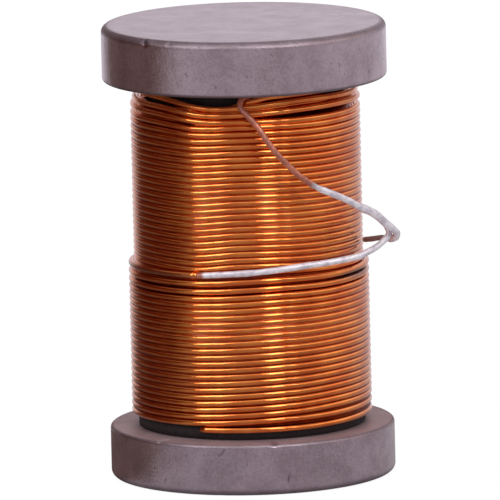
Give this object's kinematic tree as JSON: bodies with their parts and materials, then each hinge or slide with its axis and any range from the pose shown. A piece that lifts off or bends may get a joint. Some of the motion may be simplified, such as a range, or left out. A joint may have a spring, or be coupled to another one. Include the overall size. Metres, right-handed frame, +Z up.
{
  "type": "rod-core inductor",
  "caption": "Round core rod between flat discs, wound in layers with enamelled copper wire, its tinned leads hooked together at one side.",
  "frame": {"origin": "centre of the underside of the bottom disc", "axes": "+Z up the rod, +X to the side on which the leads are hooked, -Y to the front, where the leads leave the winding"},
  "size_m": [0.0258, 0.025, 0.04],
  "materials": {
    "core": "pressed iron-powder, matt, fine-grained, mauve grey",
    "enamelled_copper": "copper wire under clear glossy enamel",
    "tinned_copper": "solder-tinned wire, satin"
  },
  "bodies": {
    "root": {"core_rod": "core", "top_disc": "core", "bottom_disc": "core", "winding": "enamelled_copper", "start_lead": "tinned_copper", "finish_lead": "tinned_copper"}
  },
  "joints": []
}
